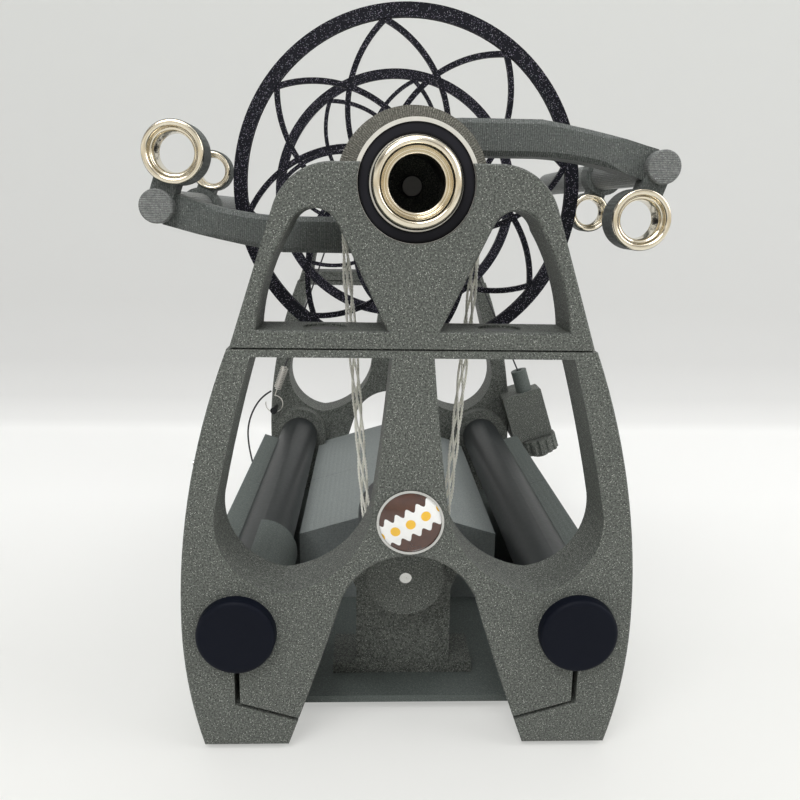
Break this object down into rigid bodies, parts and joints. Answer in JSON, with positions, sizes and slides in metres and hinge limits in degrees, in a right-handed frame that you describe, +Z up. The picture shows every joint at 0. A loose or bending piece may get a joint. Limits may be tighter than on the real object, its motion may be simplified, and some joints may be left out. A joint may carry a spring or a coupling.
{
  "type": "electric yarn spinner",
  "caption": "Electric yarn spinner: two printed A-shaped frames on rail tubes, a driven flyer with sliding hooks, a lattice bobbin, a motor with cord belt and a cord brake.",
  "frame": {"origin": "centre of the orifice on the front face of the front frame", "axes": "+X to the right seen from the front, +Y to the back along the flyer's axis, +Z up"},
  "size_m": [0.2212, 0.311, 0.2828],
  "materials": {
    "printed_dark": "speckled, fine layer lines",
    "printed_wall": "fine layer lines",
    "printed_cover": "layer lines",
    "printed_arm": "layer lines",
    "glitter_disc": "glitter in a smooth printed surface",
    "black_tube": "satin",
    "black_cap": "satin moulded",
    "black_plastic": "satin moulded",
    "black_rubber": "matt",
    "plated_metal": "bright plating, slightly warm",
    "bright_steel": "ground",
    "bearing_steel": "polished",
    "motor_steel": "satin black",
    "spring_wire": "bright wire",
    "belt_cord": "twisted cord",
    "dark_cord": "braided cord",
    "badge_enamel": "clear domed resin",
    "circuit_board": "solder mask"
  },
  "bodies": {
    "base": {"front_lower_frame": "printed_dark", "front_upper_frame": "printed_dark", "rear_lower_frame": "printed_dark", "rear_upper_frame": "printed_dark", "rubber_feet": "black_rubber", "rail_tube_left": "black_tube", "rail_tube_right": "black_tube", "rail_end_caps": "black_cap", "rail_collar": "printed_dark", "side_walls_left": "printed_wall", "side_walls_right": "printed_wall", "base_tray": "printed_wall", "cover_front": "printed_cover", "cover_rear": "printed_cover", "control_panel": "printed_dark", "switch_housing": "black_plastic", "dc_jack": "black_plastic", "control_board": "circuit_board", "motor_mount": "printed_dark", "motor_can": "motor_steel", "motor_screws": "bright_steel", "drive_belt": "belt_cord", "front_bearing_outer": "bearing_steel", "front_bearing_seal": "black_rubber", "rear_bearing_outer": "bearing_steel", "brake_block": "printed_dark", "brake_cord": "dark_cord", "brake_spring": "spring_wire", "brake_anchor_pin": "black_plastic", "brake_cord_tail": "dark_cord", "badge_rim": "plated_metal", "badge_dome": "badge_enamel", "frame_magnets": "bright_steel", "side_pins": "bright_steel"},
    "flyer": {"front_bearing_inner": "bearing_steel", "orifice_grommet": "plated_metal", "flyer_neck": "printed_dark", "flyer_pulley": "printed_arm", "flyer_arms": "printed_arm", "flyer_bar_left": "printed_arm", "flyer_bar_right": "printed_arm", "fixed_eyelets": "plated_metal", "flyer_shaft": "bright_steel", "shaft_collars": "bright_steel", "rear_bearing_inner": "bearing_steel"},
    "bobbin": {"bobbin_front_disc": "glitter_disc", "bobbin_rear_disc": "glitter_disc", "bobbin_core": "glitter_disc", "bobbin_bushes": "black_plastic", "bobbin_whorl": "glitter_disc"},
    "motor_rotor": {"motor_shaft": "bright_steel", "motor_pulley": "printed_dark"},
    "hook_right": {"hook_right_slider": "printed_arm", "hook_right_eyelet": "plated_metal"},
    "hook_left": {"hook_left_slider": "printed_arm", "hook_left_eyelet": "plated_metal"},
    "brake_plunger_body": {"brake_plunger": "black_plastic"},
    "brake_knob_body": {"brake_knob": "printed_dark"},
    "speed_knob_body": {"speed_knob": "black_plastic"},
    "direction_rocker_body": {"direction_rocker": "black_plastic"}
  },
  "joints": [
    {"name": "flyer_spin", "type": "hinge", "parent": "base", "child": "flyer", "pos_m": [0, 0, 0], "axis": [0, 1, 0], "continuous": true},
    {"name": "bobbin_spin", "type": "hinge", "parent": "flyer", "child": "bobbin", "pos_m": [0, 0.15, 0], "axis": [0, 1, 0], "continuous": true},
    {"name": "motor_spin", "type": "hinge", "parent": "base", "child": "motor_rotor", "pos_m": [0, 0.031, -0.153], "axis": [0, 1, 0], "continuous": true},
    {"name": "hook_right_slide", "type": "slide", "parent": "flyer", "child": "hook_right", "axis": [0, 1, 0], "range_m": [-0.06, 0.112]},
    {"name": "hook_left_slide", "type": "slide", "parent": "flyer", "child": "hook_left", "axis": [0, 1, 0], "range_m": [-0.06, 0.112]},
    {"name": "brake_knob_turn", "type": "hinge", "parent": "base", "child": "brake_knob_body", "pos_m": [0.09765, 0.2685, -0.14487], "axis": [-0.309, 0, 0.9511], "range_deg": [-1080, 1080]},
    {"name": "brake_plunger_slide", "type": "slide", "parent": "base", "child": "brake_plunger_body", "axis": [-0.309, 0, 0.9511], "range_m": [-0.0031, 0.0031]},
    {"name": "speed_knob_turn", "type": "hinge", "parent": "base", "child": "speed_knob_body", "pos_m": [-0.013, 0.277, -0.1756], "axis": [0, 1, 0], "range_deg": [0, 270]},
    {"name": "direction_rocker_tilt", "type": "hinge", "parent": "base", "child": "direction_rocker_body", "pos_m": [0.013, 0.275, -0.1756], "axis": [1, 0, 0], "range_deg": [-9, 9]}
  ],
  "couplings": [
    {"joint": "motor_spin", "follows": "flyer_spin", "ratio": 1.8631},
    {"joint": "brake_plunger_slide", "follows": "brake_knob_turn", "m_per_rad": 0.00015915}
  ]
}
